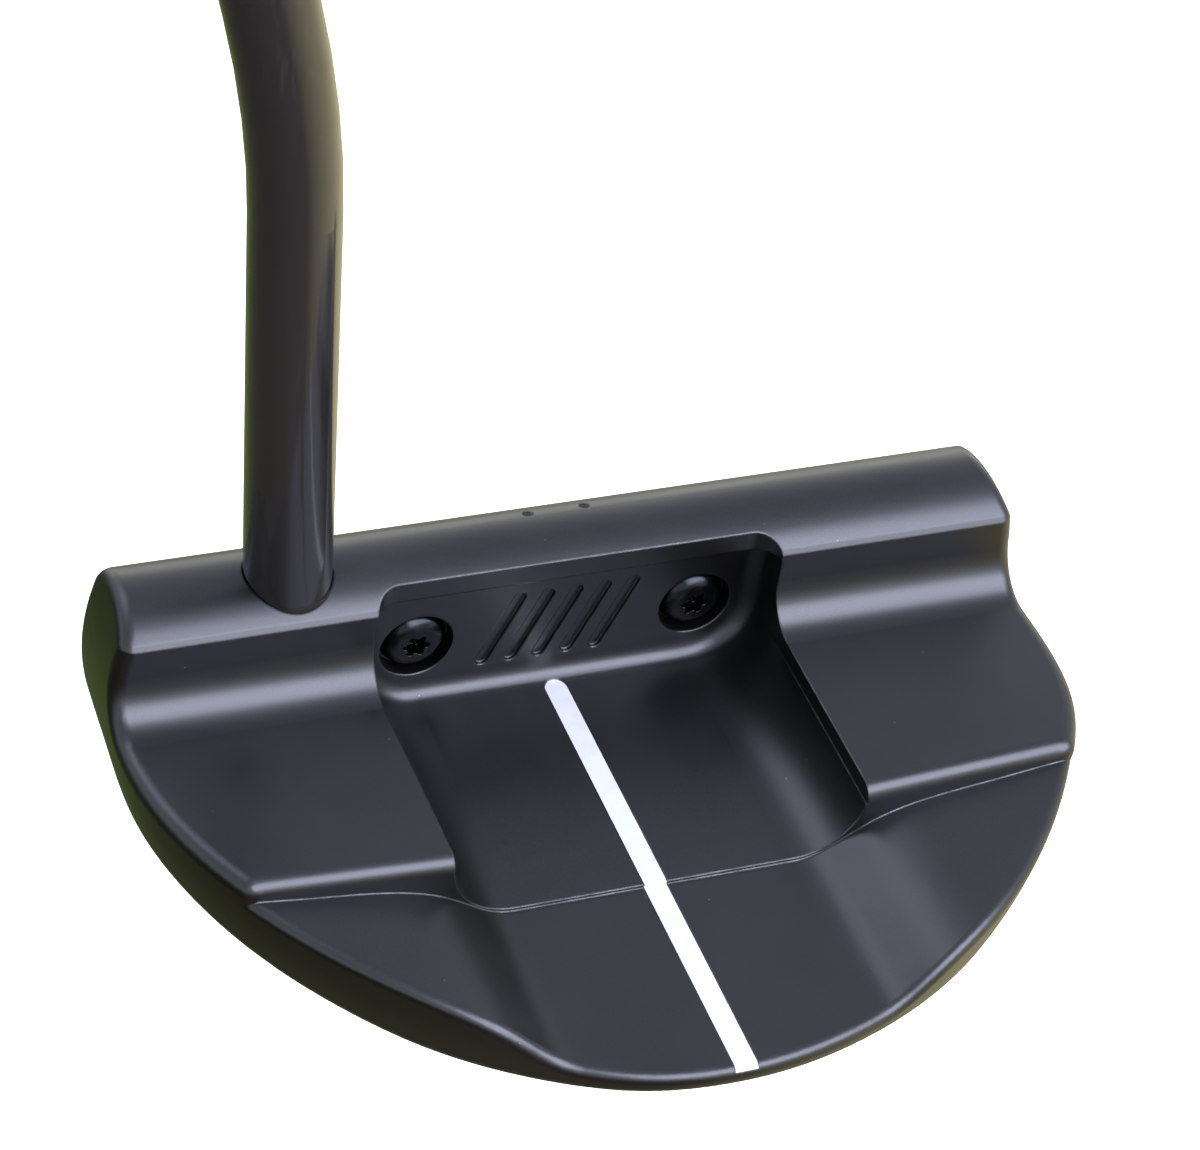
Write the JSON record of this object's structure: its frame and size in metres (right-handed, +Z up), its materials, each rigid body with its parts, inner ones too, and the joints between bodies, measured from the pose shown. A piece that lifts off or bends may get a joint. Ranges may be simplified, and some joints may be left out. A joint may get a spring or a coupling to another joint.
{
  "type": "mallet putter",
  "caption": "Black winged mallet putter with face insert, rear pocket with white sight line, sole weights, double-bend steel shaft and rubber grip.",
  "frame": {"origin": "middle of the flat of the sole, which stands on the ground", "axes": "+Z up, +Y towards the target, out of the face, +X towards the toe"},
  "size_m": [0.3733, 0.0842, 0.8417],
  "materials": {
    "anodised_metal": "satin black anodised, bead blasted",
    "insert_metal": "milled satin",
    "damper_polymer": "matte",
    "black_screw": "black oxide, slightly glossy",
    "white_enamel": "satin enamel",
    "weight_steel": "turned satin",
    "washer_polymer": "matte",
    "insert_brass": "plain",
    "shaft_steel": "satin black",
    "adhesive": "cured resin",
    "plug_plastic": "matte",
    "tape_fabric": "matte",
    "grip_rubber": "matte, textured",
    "cap_rubber": "satin"
  },
  "bodies": {
    "putter": {"head_body": "anodised_metal", "face_insert": "insert_metal", "insert_damper": "damper_polymer", "face_screw_heel": "black_screw", "face_screw_toe": "black_screw", "sight_line": "white_enamel", "weight_washer_heel": "washer_polymer", "weight_washer_toe": "washer_polymer", "thread_insert_heel": "insert_brass", "thread_insert_toe": "insert_brass", "shaft": "shaft_steel", "shaft_adhesive": "adhesive", "shaft_tip_plug": "plug_plastic", "grip_tape": "tape_fabric", "grip": "grip_rubber", "grip_end_cap": "cap_rubber"},
    "heel_weight": {"sole_weight_heel": "weight_steel"},
    "heel_weight_screw": {"weight_screw_heel": "black_screw"},
    "toe_weight": {"sole_weight_toe": "weight_steel"},
    "toe_weight_screw": {"weight_screw_toe": "black_screw"}
  },
  "joints": [
    {"name": "heel_weight_out", "type": "slide", "parent": "putter", "child": "heel_weight", "axis": [0, 0, -1], "range_m": [0, 0.012]},
    {"name": "heel_screw_turn", "type": "hinge", "parent": "heel_weight", "child": "heel_weight_screw", "pos_m": [-0.035, 0.008, 0.004], "axis": [0, 0, -1], "range_deg": [0, 6181]},
    {"name": "toe_weight_out", "type": "slide", "parent": "putter", "child": "toe_weight", "axis": [0, 0, -1], "range_m": [0, 0.012]},
    {"name": "toe_screw_turn", "type": "hinge", "parent": "toe_weight", "child": "toe_weight_screw", "pos_m": [0.035, 0.008, 0.004], "axis": [0, 0, -1], "range_deg": [0, 6181]}
  ],
  "couplings": [
    {"joint": "heel_screw_turn", "follows": "heel_weight_out", "rad_per_m": 8976},
    {"joint": "toe_screw_turn", "follows": "toe_weight_out", "rad_per_m": 8976}
  ]
}
